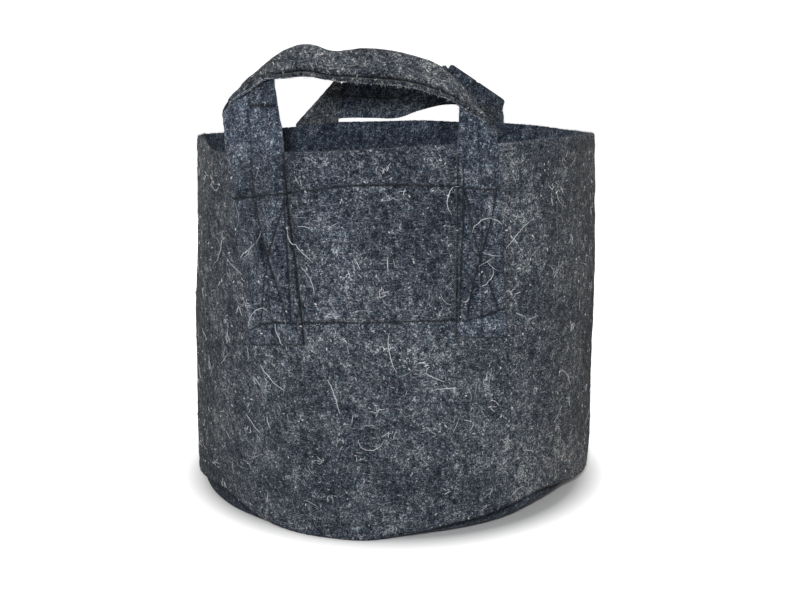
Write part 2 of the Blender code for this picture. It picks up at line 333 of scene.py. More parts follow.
def add_mesh(name, points, faces, material, smooth=True, crease=None, face_tone_and_painted_light=None, wear_and_painted_light=None):
    mesh = bpy.data.meshes.new(name)
    points = np.asarray(points, float).reshape(-1, 3)
    mesh.from_pydata(points.tolist(), [], faces)
    rest = mesh.attributes.new("rest", "FLOAT_VECTOR", "POINT")
    rest.data.foreach_set("vector", points.astype(np.float32).ravel())
    # Per-point colour attributes: painted shade; the felt's tone with painted light; rubbing with painted
    # light
    for key, values in (("painted_shade", crease), ("face_tone_and_painted_light", face_tone_and_painted_light), ("wear_and_painted_light", wear_and_painted_light)):
        if values is not None:
            layer = mesh.attributes.new(key, "FLOAT", "POINT")
            layer.data.foreach_set("value", np.asarray(values, np.float32).ravel())
    mesh.polygons.foreach_set("use_smooth", [smooth] * len(mesh.polygons))
    mesh.materials.append(material)
    mesh.update()
    piece = bpy.data.objects.new(name, mesh)
    bpy.context.scene.collection.objects.link(piece)
    return piece


def tree_of(piece):
    mesh = piece.data
    return BVHTree.FromPolygons([v.co for v in mesh.vertices], [tuple(p.vertices) for p in mesh.polygons])


def tubes(name, paths, material, sides=4):
    """Many thin tubes in one mesh: paths is a list of (points, radius or radii)."""
    points, faces = [], []
    for path, radius in paths:
        path = np.asarray(path, float)
        radii = np.broadcast_to(radius, len(path))
        along = np.gradient(path, axis=0)
        along /= np.linalg.norm(along, axis=1, keepdims=True) + 1e-12
        aid = np.array([0.31, 0.52, 0.79]) if abs(along[0, 2]) < 0.8 else np.array([0.9, 0.3, 0.1])
        side = np.cross(along, aid)
        side /= np.linalg.norm(side, axis=1, keepdims=True)
        other = np.cross(along, side)
        start = len(points)
        for index in range(len(path)):
            for step in range(sides):
                turn = tau * step / sides
                spoke = math.cos(turn) * side[index] + math.sin(turn) * other[index]
                points.append(path[index] + radii[index] * spoke)
        for face in grid_faces(len(path), sides, False, True):
            faces.append(tuple(start + corner for corner in face))
        last = start + (len(path) - 1) * sides
        faces.append(tuple(start + step for step in reversed(range(sides))))
        faces.append(tuple(last + step for step in range(sides)))
    return add_mesh(name, points, faces, material)


# Materials

def linear(red, green, blue):
    """A linear colour from an sRGB one out of 255."""
    return tuple(
        value / 12.92 if value <= 0.04045 else ((value + 0.055) / 1.055) ** 2.4
        for value in (red / 255, green / 255, blue / 255)
    ) + (1.0,)


class Nodes:
    """Short calls for the nodes of a material or of the sky."""

    def __init__(self, owner):
        self.owner = owner
        owner.use_nodes = True
        self.tree = owner.node_tree

    def fill(self, node, inputs):
        """Each input is a value or another node's output."""
        for key, value in inputs.items():
            if hasattr(value, "is_linked"):
                self.tree.links.new(value, node.inputs[key])
            else:
                node.inputs[key].default_value = value

    def add(self, kind, inputs, **settings):
        node = self.tree.nodes.new(kind)
        for key, value in settings.items():
            setattr(node, key, value)
        self.fill(node, inputs)
        return node

    def surface(self, **values):
        """The material, with its shader's inputs set: Base_Color stands for Base Color."""
        values = {key.replace("_", " "): value for key, value in values.items()}
        self.fill(self.tree.nodes["Principled BSDF"], values)
        return self.owner

    def attribute(self, name, output="Fac"):
        return self.add("ShaderNodeAttribute", {}, attribute_name=name).outputs[output]

    def noise(self, vector, scale, detail, roughness=0.5, distortion=0.0, output="Fac"):
        return self.add("ShaderNodeTexNoise", {
            "Vector": vector, "Scale": scale, "Detail": detail, "Roughness": roughness,
            "Distortion": distortion,
        }).outputs[output]

    def math(self, operation, first, second, third=0.0):
        return self.add("ShaderNodeMath", {0: first, 1: second, 2: third}, operation=operation).outputs[0]

    def span(self, value, low, high, to_low=0.0, to_high=1.0):
        return self.add("ShaderNodeMapRange", {
            "Value": value, "From Min": low, "From Max": high, "To Min": to_low, "To Max": to_high,
        }).outputs[0]

    def ramp(self, value, stops):
        node = self.add("ShaderNodeValToRGB", {0: value})
        elements = node.color_ramp.elements
        while len(elements) < len(stops):
            elements.new(0.5)
        for element, (position, color) in zip(elements, stops):
            element.position = position
            element.color = color
        return node.outputs[0]

    def mix(self, factor, first, second, blend="MIX"):
        inputs = {0: factor, 6: first, 7: second}
        return self.add("ShaderNodeMix", inputs, data_type="RGBA", blend_type=blend).outputs[2]

    def times(self, color, tint):
        return self.mix(1.0, color, tint, "MULTIPLY")

    def bump(self, height, distance, strength, below=None):
        inputs = {"Height": height, "Distance": distance, "Strength": strength}
        if below is not None:
            inputs["Normal"] = below
        return self.add("ShaderNodeBump", inputs).outputs[0]

    def mapped(self, vector, **inputs):
        """A vector moved, turned or stretched, by its Location, Rotation or Scale."""
        return self.add("ShaderNodeMapping", {"Vector": vector, **inputs}).outputs[0]

    def wandering(self, vector, drift, amount):
        """A vector moved by a noise's colour, so that what is laid on it wanders."""
        inputs = {0: drift, 1: amount, 2: vector}
        return self.add("ShaderNodeVectorMath", inputs, operation="MULTIPLY_ADD").outputs[0]


def laid_flat(n, rest):
    """Where a point of the wall is when it is laid flat: arc length and height."""
    across, depth, height = n.add("ShaderNodeSeparateXYZ", {0: rest}).outputs
    sideways = n.math("SUBTRACT", across, n.math("MULTIPLY", depth, 0.07))
    arc = n.math("ARCTAN2", sideways, n.math("MULTIPLY", depth, -1.0))
    return n.add("ShaderNodeCombineXYZ", {0: n.math("MULTIPLY", arc, RADIUS), 1: height}).outputs[0]


def felt_tangle(n, rest, flat, drift, clumps):
    """How pale the tangled felt is, from its fibres at a millimetre up to broad clouds."""
    tangled = n.wandering(rest, drift, (0.005, 0.005, 0.005))
    slanted = n.mapped(flat, Rotation=(0.0, 0.0, math.radians(-38)))
    tangle = n.math("MULTIPLY", n.noise(tangled, 560, 3, 0.65, 0.8), 1.15)
    for layer, share in (
        (n.noise(rest, 900, 2, 0.6), 0.85),
        (clumps, 0.50),
        (n.noise(n.mapped(rest, Scale=(1.0, 1.0, 0.16)), 330, 2, 0.6), 0.24),
        (n.noise(n.mapped(slanted, Scale=(1.0, 0.16, 1.0)), 300, 2, 0.6), 0.26),
        (n.noise(rest, 34, 3, 0.6), 0.32),
        (n.noise(rest, 8, 2, 0.5), 0.18),
    ):
        tangle = n.math("MULTIPLY_ADD", layer, share, tangle)
    return tangle


def felt_strands(n, rest, flat, drift):
    """Single pale fibres that lie four ways over the felt, in some patches more than in others."""
    drifted = n.wandering(flat, drift, (0.0035, 0.0035, 0.0))
    strands = 0.0
    for index, turn in enumerate((12, 57, 98, 143)):
        spun = n.mapped(
            drifted, Location=(index * 3.1, index * 1.7, 0.0), Rotation=(0.0, 0.0, math.radians(turn)),
            Scale=(110, 900, 1))
        strands = n.math("MAXIMUM", strands, n.noise(spun, 1.0, 1, 0.5))
    where = n.span(n.noise(rest, 48, 2, 0.5), 0.36, 0.60, 0.15, 1.0)
    return n.math("MULTIPLY", n.span(strands, 0.66, 0.78), where)


FELT_STOPS = [
    (0.0, linear(20, 24, 34)), (0.26, linear(44, 50, 62)), (0.50, linear(76, 82, 93)),
    (0.68, linear(112, 117, 125)), (0.84, linear(164, 167, 172)), (1.0, linear(226, 227, 228)),
]
FIBRE_TONES = [
    (0.34, linear(160, 178, 192)), (0.44, linear(174, 184, 182)), (0.5, linear(184, 184, 184)),
    (0.57, linear(190, 186, 178)), (0.66, linear(186, 176, 192)),
]


def felt_material(name, lightness):
    """Needle-punched recycled felt: dark and pale fibres tangled at about a millimetre."""
    n = Nodes(bpy.data.materials.new(name))
    rest = n.attribute("rest", "Vector")
    drift = n.noise(rest, 230, 1, output="Color")
    flat = laid_flat(n, rest)
    clumps = n.noise(rest, 150, 3, 0.6)
    tangle = felt_tangle(n, rest, flat, drift, clumps)
    pale = felt_strands(n, rest, flat, drift)
    color = n.ramp(n.span(tangle, 1.475, 2.065), FELT_STOPS)
    color = n.times(color, n.ramp(n.noise(rest, 620, 2, 0.7), FIBRE_TONES))
    color = n.times(color, (lightness,) * 3 + (1.0,))
    color = n.mix(n.math("MULTIPLY", pale, 0.6), color, linear(186, 190, 196))
    # Tone per point: partly the felt's own colour, partly painted light (painted sheen on the wall's sides,
    # painted light on the grip's flap)
    face_tone_and_painted_light = n.mix(n.attribute("face_tone_and_painted_light"), (0.72, 0.80, 0.92, 1.0), (1.08, 1.02, 0.95, 1.0))
    color = n.times(color, face_tone_and_painted_light)
    # Paler where the felt is rubbed, and painted light: a painted highlight along the rim's top edge and on
    # the front strap's left shoulder; paler at the front right leg's foot
    color = n.times(color, n.math("MULTIPLY_ADD", n.attribute("wear_and_painted_light"), 0.60, 1.0))
    # Painted shade: darkened towards near black in stitch grooves, creases, gaps, along edges and under the
    # grip's lip
    color = n.mix(n.math("MULTIPLY", n.attribute("painted_shade"), 0.93), color, linear(9, 11, 16))
    soft = n.bump(clumps, 0.0020, 0.6)
    raised = n.math("MULTIPLY_ADD", pale, 0.25, tangle)
    return n.surface(
        Base_Color=color, Roughness=0.95, Specular_IOR_Level=0.10, Diffuse_Roughness=1.0,
        Sheen_Weight=0.10, Sheen_Roughness=0.45, Sheen_Tint=(0.93, 0.91, 0.86, 1.0),
        Normal=n.bump(raised, 0.0012, 0.9, soft))


def fibre_material(name, dark, pale):
    n = Nodes(bpy.data.materials.new(name))
    rest = n.attribute("rest", "Vector")
    return n.surface(
        Base_Color=n.ramp(n.noise(rest, 60, 2, 0.6), [(0.3, dark), (0.7, pale)]), Roughness=0.8,
        Specular_IOR_Level=0.2, Sheen_Weight=0.3, Normal=n.bump(n.noise(rest, 1500, 2, 0.6), 0.0003, 0.5))


def thread_material():
    n = Nodes(bpy.data.materials.new("sewing_thread_twisted"))
    inputs = {"Vector": n.attribute("rest", "Vector"), "Scale": 620, "Distortion": 1.0}
    twist = n.add("ShaderNodeTexWave", inputs, wave_type="BANDS", bands_direction="DIAGONAL").outputs["Fac"]
    return n.surface(
        Base_Color=n.ramp(twist, [(0.0, linear(16, 18, 22)), (1.0, linear(42, 45, 52))]), Roughness=0.6,
        Specular_IOR_Level=0.3, Normal=n.bump(twist, 0.0002, 0.6))


body_felt = felt_material("body_felt_needled", 1.75)
strap_felt = felt_material("strap_felt_needled", 1.80)
pale_fibre = fibre_material("pale_lint", linear(176, 180, 186), linear(248, 249, 250))
felt_fibre = fibre_material("loose_felt_fibre", linear(50, 55, 64), linear(112, 116, 124))
thread = thread_material()


# Wall

WALL_COLUMNS = 480
UPPER_ROW, LOWER_ROW = 0.3195, 0.2005  # the rows that bend to follow the two stitch lines
BESIDE_UPPER = [(60, 0.308), (100, 0.305)]
BESIDE_LOWER = [(60, 0.212), (110, 0.2)]
upper_at = ring(FRONT_UPPER + BESIDE_UPPER + BACK_UPPER + [(-90, 0.302)], 2.0)
lower_at = ring(FRONT_LOWER[2:] + BESIDE_LOWER + BACK_LOWER + [(-90, 0.195)], 2.0)
# Rows stand closest at the foot, along the stitch lines and at the rim
OUTER_HEIGHTS = np.concatenate([
    [0.0, 0.001, 0.0025, 0.0045, 0.007, 0.010, 0.014, 0.019], np.arange(0.025, 0.184, 0.0065),
    np.arange(0.188, 0.214, 0.0014), np.arange(0.219, 0.302, 0.0065), np.arange(0.307, 0.332, 0.0014),
    [0.335, 0.3385, 0.3415, 0.344, 0.346, 0.3475],
])
INNER_HEIGHTS = np.concatenate([
    np.arange(0.346, 0.25, -0.004), np.arange(0.246, 0.02, -0.012), [0.012, 0.006],
])
# The rounded rim and foot, as (distance in from the outer face, drop or rise)
CREST = ((0.0004, 0.0010), (0.0010, 0.0003), (0.0015, 0.0), (0.0020, 0.0003), (0.0026, 0.0010))
FOOT = ((0.0028, 0.0012), (0.0022, 0.0002), (0.0012, -0.0004), (0.0004, -0.0002))
SEAM_ANGLE = 94  # the wall's side seam
SEAM_THICKNESS = 0.0025  # the extra layer behind it


def warped(angle, height):
    """Row heights bent to follow the rim, the stitch lines and the wall's lower edge."""
    near_upper, near_lower = bell(height - UPPER_ROW, 0.016), bell(height - LOWER_ROW, 0.030)
    out = height + (upper_at(angle) - UPPER_ROW) * near_upper + (lower_at(angle) - LOWER_ROW) * near_lower
    out = out + (rim_height(angle) - HEIGHT) * rising(height, 0.325, 0.025)
    return out + wall_edge(angle) * np.clip(1 - height / 0.07, 0, 1)


def rubbed_band(angles, level):
    """How rubbed the wall is along the line just left of the front, from mid height up."""
    band = bell((angles + 188) % 360 - 180 + 0.8 * np.sin(level * 90), 4.5)
    band = band * (0.55 + 0.45 * np.sin(angles * 1.1 + level * 210) * np.sin(level * 160 + 1))
    return 0.8 * band * rising(level, 0.17, 0.05) * falling(level, 0.345, 0.02)


def build_wall():
    angles = np.arange(WALL_COLUMNS) * 360 / WALL_COLUMNS
    rows, creases, wear_and_painted_light = [], [], []
    for height in OUTER_HEIGHTS:
        level = warped(angles, height)
        depth, shade = grooves(angles, level, LINES)
        radius = wall_radius(angles, level) - depth + 0.00022 * fine(angles, level)
        rows.append(place(angles, radius, level))
        # Painted shade along the stitch lines and along the wall's lower edge
        creases.append(np.maximum(shade, 0.85 * bell(level - wall_edge(angles), 0.0009)))
        wear_and_painted_light.append(rubbed_band(angles, level))
    top = rim_height(angles) + 0.00016 * fray(angles, 0.0)
    edge = wall_radius(angles, top)
    for inward, drop in CREST:
        rows.append(place(angles, edge - inward, top - drop))
    seam_lap = np.exp(-(((angles - SEAM_ANGLE + 180) % 360 - 180) / 2.2) ** 4)
    for height in INNER_HEIGHTS:
        level = warped(angles, height)
        depth, _ = grooves(angles, level, LINES)
        radius = wall_radius(angles, level) - FELT - SEAM_THICKNESS * seam_lap - 0.4 * depth
        rows.append(place(angles, radius + 0.0002 * fine(angles, level), level))
    low = wall_edge(angles)
    foot = wall_radius(angles, low)
    for inward, rise in FOOT:
        rows.append(place(angles, foot - inward, low + rise))

    def filled(known):
        return known + [np.zeros(WALL_COLUMNS)] * (len(rows) - len(known))

    # The outer face paler and warmer than the inner one, the more so towards the sides: painted sheen at the
    # sides
    outer_tone_and_side_sheen = 0.55 + 0.45 * rising(np.abs((angles + 180) % 360 - 180), 20, 40)
    # Painted highlight along the rim's top edge, from 36 to 100 degrees
    painted_crest_highlight = 0.8 * rising(angles, 36, 8) * falling(angles, 100, 10)
    piece = add_mesh(
        "bag_wall", rows, grid_faces(len(rows), WALL_COLUMNS, True, True), body_felt, crease=filled(creases),
        face_tone_and_painted_light=filled([outer_tone_and_side_sheen] * (len(OUTER_HEIGHTS) + 3)), wear_and_painted_light=filled(wear_and_painted_light + [painted_crest_highlight] * len(CREST)))
    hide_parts("wall_panel")
    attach(piece, "bag")
    return piece


# Base

BASE_COLUMNS = 360
BASE_LIFT = 0.0016  # the middle of the felt above the ground
BASE_RIM_ROWS = 60  # close rows kept at the turned-up margin: the flat middle needs none


def build_base():
    turns = np.arange(BASE_COLUMNS) * 360 / BASE_COLUMNS
    turn_height = base_turn(turns)
    tuck = np.maximum(wall_edge(turns) - 0.0005, turn_height + 0.0062)
    reach = flare(turns)
    eased = 0.3 * (tuck - turn_height - 0.0062)
    path = [
        place(turns, 0.02 + 0 * turns, BASE_LIFT + 0 * turns),
        place(turns, 0.10 + 0 * turns, BASE_LIFT + 0 * turns),
        place(turns, 0.15 + 0 * turns, BASE_LIFT + 0.05 * turn_height),
        place(turns, 0.176 + 0 * turns, BASE_LIFT + 0.30 * turn_height),
        place(turns, 0.189 + 0.6 * reach, 0.0017 + 0.75 * turn_height),
        place(turns, 0.1955 + reach, 0.0026 + turn_height),
        place(turns, 0.1966 + reach, 0.0044 + turn_height + eased),
        place(turns, 0.1944 + reach, tuck),
        place(turns, 0.1925 + 0.7 * reach, tuck + 0.008),
    ]
    middle = spline(path, 0.003)[0]
    if len(middle) > BASE_RIM_ROWS + 10:
        middle = np.concatenate([middle[:1], middle[-BASE_RIM_ROWS:]])
    along = np.gradient(middle, axis=0)
    round_about = np.roll(middle, -1, axis=1) - np.roll(middle, 1, axis=1)
    normal = np.cross(round_about, along)
    normal /= np.linalg.norm(normal, axis=2, keepdims=True)
    under, over = middle - normal * (FELT / 2), middle + normal * (FELT / 2)
    if under[0, 0, 2] > over[0, 0, 2]:
        under, over = over, under
    rows = np.concatenate([under, over[::-1]])
    faces = grid_faces(len(rows), BASE_COLUMNS, False, True)
    faces.append(tuple(range(BASE_COLUMNS)))
    faces.append(tuple((len(rows) - 1) * BASE_COLUMNS + i for i in reversed(range(BASE_COLUMNS))))
    # Painted shade over the base's outer margin, darkest in the gap under the wall's lower edge
    shade = 0.45 + 0.55 * np.clip((rows[..., 2] - tuck + 0.0042) / 0.0020, 0, 1)
    shade = shade * (np.hypot(rows[..., 0], rows[..., 1]) > 0.18)
    piece = add_mesh("bag_base", rows, faces, body_felt, crease=shade, face_tone_and_painted_light=0.05 + 0 * shade)
    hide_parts("base_disc")
    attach(piece, "bag")
    return piece


# Straps

ACROSS = np.concatenate([
    [0, 0.004, 0.012, 0.024, 0.040, 0.058], np.arange(0.070, 0.115, 0.0075), np.linspace(0.128, 0.938, 35),
    [0.960, 0.976, 0.988, 0.996, 1.0],
])
COLUMNS = len(ACROSS)
STRAP_WIDTH = 0.060
FOLD_EASE = 0.13
LEG_TOP = 0.348  # above it a strap is free of the wall
GRIP_FOOT = 0.362  # above it a strap is folded into its grip


def section(outer, fold, inner):
    """Points across a strap whose middle is folded, eased round the fold."""
    outer, inner = np.array(outer, float), np.array(inner, float)
    fold = (outer + inner) / 2 if fold is None else np.array(fold, float)
    first, second = np.linalg.norm(fold - outer), np.linalg.norm(inner - fold)
    middle = first / (first + second)
    ease = min(FOLD_EASE, 0.48 * middle, 0.48 * (1 - middle))

    def straight(share):
        share = np.asarray(share, float)[..., None]
        before = outer + (fold - outer) * share / middle
        after = fold + (inner - fold) * (share - middle) / (1 - middle)
        return np.where(share < middle, before, after)

    points = straight(ACROSS)
    t = np.clip((ACROSS - (middle - ease)) / (2 * ease), 0, 1)[:, None]
    start, end = straight(middle - ease), straight(middle + ease)
    curve = (1 - t) ** 2 * start + 2 * t * (1 - t) * fold + t**2 * end
    return np.where((np.abs(ACROSS - middle) < ease)[:, None], curve, points)


def turned(crease):
    """Sections round a strap's fold, from the layer behind the crease to the one in front of it."""
    crease = np.array(crease)
    along = crease[-1] - crease[0]
    out = crease * (1, 1, 0)
    out /= np.linalg.norm(out, axis=1, keepdims=True)
    beyond = np.cross(along, out)
    beyond *= np.sign(beyond[:, 2:])
    beyond /= np.linalg.norm(beyond, axis=1, keepdims=True)
    apart = STRAP / 2 + 0.0005
    turns = np.radians([0, 36, 72, 108, 144, 180])
    return [crease + apart * (out * math.cos(turn) + beyond * math.sin(turn)) for turn in turns]


def leg_rows(outer, inner, outer_foot, inner_foot, top):
    """Points across a leg that lies on the wall, from its foot up."""
    rows = []
    for share in np.linspace(0, 1, 23):
        level = (outer_foot + (inner_foot - outer_foot) * ACROSS) * (1 - share) + top * share
        low, high = np.interp(level[0], *zip(*outer)), np.interp(level[-1], *zip(*inner))
        angle = low + (high - low) * ACROSS
        rows.append(place(angle, wall_radius(angle, level) + GAP + STRAP / 2, level))
    return rows


def outward_normals(rows):
    normal = np.cross(np.gradient(rows, axis=1), np.gradient(rows, axis=0))
    normal /= np.linalg.norm(normal, axis=2, keepdims=True) + 1e-12
    outward = rows[2, 20] * (1, 1, 0)
    return -normal if normal[2, 20] @ outward < 0 else normal


def rounded(inset, radius, least):
    """How much of its full thickness a strap keeps at a distance in from an edge."""
    return np.sqrt(np.clip(1 - (1 - np.clip(inset / radius, 0, 1)) ** 2, least, 1))


def outer_relief(rows, marks, run, line_names, buckle, ripple):
    """How far the outer face is drawn in, and its painted shade: in the stitch grooves, along its centre line
    and the legs' edges, at its ends and in the buckle crease.
    """
    height = rows[..., 2]
    angle = np.degrees(np.arctan2(rows[..., 0], -rows[..., 1]))
    on_leg = falling(height, LEG_TOP, 0.006)
    drawn, shade = grooves(angle, height, line_names)
    drawn, shade = drawn * on_leg, shade * on_leg
    wander = 0.0012 * np.sin(marks / 0.031)[:, None] + 0.0006 * np.sin(marks / 0.0083)[:, None]
    centre_line = bell((ACROSS - 0.5) * STRAP_WIDTH - wander, 0.0012)
    from_edge = np.minimum(ACROSS, 1 - ACROSS) * STRAP_WIDTH
    drawn = drawn + 0.0012 * centre_line
    shade = np.maximum(shade, 0.75 * centre_line)
    shade = np.maximum(shade, bell(from_edge, 0.0014) * on_leg)
    shade = np.maximum(shade, 0.8 * bell(run, 0.0012)[:, None])
    drawn = drawn + ripple * np.sin(ACROSS * 3.5 * tau + np.sin(marks / 0.05)[:, None]) * on_leg
    # Painted shade along the buckle crease, and painted shadow of the grip's flap over the recess above it
    if buckle:
        above = height - buckle
        inner_half = rising(ACROSS, 0.47, 0.08) * (rows[..., 0] < -0.060)
        line = bell(above, 0.0020) * inner_half
        recess = np.clip(above / 0.003, 0, 1) * inner_half
        drawn = drawn + 0.0016 * line + 0.0013 * recess
        shade = np.maximum(shade, np.maximum(line, 0.42 * recess))
    return drawn, shade


def inner_relief(rows, lip):
    """The same for the inner face, where the grip's lip is folded over: painted shade in the groove by the
    lip and over the strip between the lip and the outer edge.
    """
    from_outer = ACROSS * STRAP_WIDTH
    in_grip = rising(rows[..., 2], GRIP_FOOT, 0.008) * bool(lip)
    groove = bell(from_outer - lip - 0.0008, 0.0016) * in_grip
    past_lip = 1 + np.exp((from_outer - lip) / 0.0004)
    stepped = 0.0009 / past_lip * in_grip + 0.0028 * groove
    return stepped, np.maximum(groove, 0.45 / past_lip * in_grip)


def strap_tones(rows):
    """The tone of both faces, partly their own and partly painted light on the grip's flap; painted light on
    the front strap's left shoulder above the rim, and its right leg's foot paler.
    """
    across, height, at_front = rows[..., 0], rows[..., 2], rows[..., 1] < 0
    outer_face = 0.22 + 0.16 * falling(height, 0.352, 0.01)
    # The inner face warm and pale: partly the felt's other face, partly painted light on the grip's flap
    inner_tone_and_flap_light = np.clip((across * np.sign(-rows[..., 1]) + 0.114) / 0.030, 0, 1)
    # Painted light on the front strap's left shoulder, above the rim
    shoulder = rising(height, 0.332, 0.015) * (across < -0.060) * at_front
    foot = falling(height, 0.206, 0.003) * (across > 0.050) * at_front
    face_tone_and_painted_light = np.concatenate([outer_face, inner_tone_and_flap_light[:, ::-1]], axis=1)
    wear_and_painted_light = np.concatenate([0.75 * shoulder + 0.40 * foot, 0 * shoulder], axis=1)
    return face_tone_and_painted_light, wear_and_painted_light


def strap_faces(count):
    around = 2 * COLUMNS
    faces = grid_faces(count, around, False, True)
    for end in (0, (count - 1) * around):
        for column in range(COLUMNS - 1):
            quad = (end + column, end + column + 1, end + around - 2 - column, end + around - 1 - column)
            faces.append(quad if end else quad[::-1])
    return faces


def build_strap(name, first_leg, sections, last_leg, line_names, lip, buckle, nodes, ripple):
    """A strap's one mesh: up a leg, through its sections and down the other leg."""
    keys = leg_rows(*first_leg) + [section(*points) for points in sections] + leg_rows(*last_leg)[::-1]
    rows, marks = spline(keys, 0.0019)
    normal = outward_normals(rows)
    run = np.minimum(marks, marks[-1] - marks)
    inset = np.minimum(ACROSS, 1 - ACROSS) * STRAP_WIDTH
    half = STRAP / 2 * rounded(inset, STRAP / 2, 0.02) * rounded(run, 0.0015, 0.05)[:, None]
    drawn, shade = outer_relief(rows, marks, run, line_names, buckle, ripple)
    stepped, inner_shade = inner_relief(rows, lip)
    wave = np.sin(marks / 0.0021 + 0.7 * np.sin(marks / 0.013))
    rough = 0.00018 * wave[:, None] * np.cos(ACROSS * 41)
    front = rows + normal * (half - drawn * half / half.max() + rough)[..., None]
    back = rows - normal * (half + rough - stepped * half / half.max())[..., None]
    # Painted light in the faces' tones and paler patches, and painted shade in the creases, passed with the
    # mesh
    face_tone_and_painted_light, wear_and_painted_light = strap_tones(rows)
    piece = add_mesh(
        name, np.concatenate([front, back[:, ::-1]], axis=1), strap_faces(len(rows)), strap_felt,
        crease=np.concatenate([shade, inner_shade[:, ::-1]], axis=1), face_tone_and_painted_light=face_tone_and_painted_light, wear_and_painted_light=wear_and_painted_light)
    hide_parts(*nodes)
    bpy.context.view_layer.objects.active = piece
    piece.select_set(True)
    bpy.ops.object.mode_set(mode="EDIT")
    bpy.ops.mesh.select_all(action="SELECT")
    bpy.ops.mesh.normals_make_consistent(inside=False)
    bpy.ops.object.mode_set(mode="OBJECT")
    piece.select_set(False)
    return piece


wall = build_wall()
base = build_base()
front_strap = build_strap(
    "front_handle_strap", FRONT_LEFT_LEG, FRONT_SECTIONS, FRONT_RIGHT_LEG, FRONT_LINES, 0.0044, 0.3850,
    ("front_left_handle_leg", "front_right_handle_leg", "front_handle_grip"), 0.00035,
)
back_strap = build_strap(
    "back_handle_strap", BACK_LEFT_LEG,
    BACK_FIRST_RISE + turned(BACK_FIRST_CREASE) + BACK_BAND + turned(BACK_LAST_CREASE) + BACK_LAST_RISE,
    BACK_RIGHT_LEG, BACK_LINES, 0.0, 0.0,
    ("back_left_handle_leg", "back_right_handle_leg", "back_handle_grip"), 0.00025,
)
TREES = [tree_of(piece) for piece in (wall, front_strap, back_strap)]


def surface_point(angle, height):
    """The outermost felt at a place, and its outward normal."""
    turn = math.radians(angle)
    out = Vector((math.sin(turn), -math.cos(turn), 0))
    start = out * 0.26 + Vector((0, 0, height))
    best = None
    for tree in TREES:
        hit, normal, _, distance = tree.ray_cast(start, -out, 0.12)
        if hit is not None and (best is None or distance < best[2]):
            best = (hit, normal if normal @ out > 0 else -normal, distance)
    return (best[0], best[1]) if best else (None, None)


# Stitching

STITCH_PITCH, STITCH_LENGTH, STITCH_RADIUS = 0.0042, 0.0037, 0.00050
# One stitch, as (share of its length, lift off the felt): its ends go in
STITCH = ((0.0, -0.0003), (0.15, 0.0002), (0.5, 0.00035), (0.85, 0.0002), (1.0, -0.0003))


def stitched_run(run, rng):
    """The stitches along one run, on whatever felt is outermost there."""
    paths = []
    points = unrolled(run)
    total = len(points) - 1
    mark = 0.0
    while mark + STITCH_LENGTH / LINE_STEP < total:
        stitch = []
        for share, lift in STITCH:
            at = mark + share * STITCH_LENGTH / LINE_STEP
            index = int(at)
            arc, height = points[index] + (points[min(index + 1, total)] - points[index]) * (at - index)
            hit, normal = surface_point(math.degrees(arc / RADIUS), height)
            if hit is not None:
                stitch.append(np.array(hit + normal * lift))
        if len(stitch) == len(STITCH):
            paths.append((stitch, STITCH_RADIUS * rng.uniform(0.85, 1.1)))
        mark += STITCH_PITCH / LINE_STEP * rng.uniform(0.92, 1.08)
    return paths


def sewn(name, node, paths):
    piece = tubes(name, paths, thread, 5)
    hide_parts(node)
    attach(piece, "bag")
    return piece


def base_seam_paths(count=280, half=0.5):
    """Stitches round the inside of the wall's foot, each a degree long."""
    paths = []
    for index in range(count):
        angle = index * 360 / count
        rise = float(wall_edge(angle)) + 0.0055
        radius = float(wall_radius(angle, rise)) - FELT - 0.0006
        angles = np.array([angle - half, angle - half / 2, angle, angle + half / 2, angle + half])
        radii = np.array([radius + 0.0004, radius, radius - 0.0001, radius, radius + 0.0004])
        paths.append((place(angles, radii, np.full(5, rise)), STITCH_RADIUS))
    return paths


def side_seam_paths(count=76, lowest=0.018, pitch=0.0043):
    """Stitches up the inside of the wall's side seam."""
    paths = []
    for index in range(count):
        ladder = np.array([0, 0.0009, 0.0018, 0.0027, 0.0036]) + (lowest + index * pitch)
        angle = np.full(5, float(SEAM_ANGLE))
        lift = np.array([-0.0004, 0.0003, 0.0004, 0.0003, -0.0004])
        radius = wall_radius(angle, ladder) - FELT - SEAM_THICKNESS - lift
        paths.append((place(angle, radius, ladder), STITCH_RADIUS))
    return paths


for name, runs in LINES.items():
    rng = np.random.default_rng(len(name) * 7 + 3)
    paths = [path for run in runs for path in stitched_run(run, rng)]
    sewn(name.replace("stitch_line", "stitches").replace("stitching", "stitches"), name, paths)
base_seam = sewn("base_seam_stitches", "base_seam_thread", base_seam_paths())
side_seam = sewn("side_seam_stitches", "side_seam_thread", side_seam_paths())


# Loose fibres: pale lint on the faces, and felt fibres that stand off every raw edge

LINT_STEP, WISP_STEP = 0.0016, 0.0014


def tapered(path, least, end):
    """A fibre's girth along it, thinnest at its ends."""
    return least + (1 - least) * np.sin(np.linspace(end, math.pi - end, len(path)))


def lint_path(rng, angle, height, length, curl):
    """A curved fibre that lies on the felt."""
    heading = rng.uniform(0, tau)
    steps = max(3, int(length / LINT_STEP))
    bend = rng.normal(0, curl)
    change = rng.normal(0, curl * 0.25, steps)
    path = []
    arc = RADIUS * math.radians(angle)
    for index in range(steps):
        hit, normal = surface_point(math.degrees(arc / RADIUS), height)
        if hit is None:
            return []
        lift = 0.00025 + 0.0004 * rng.random()
        path.append(np.array(hit + normal * lift))
        bend += change[index]
        heading += bend * LINT_STEP
        arc += math.cos(heading) * LINT_STEP
        height += math.sin(heading) * LINT_STEP
    return path


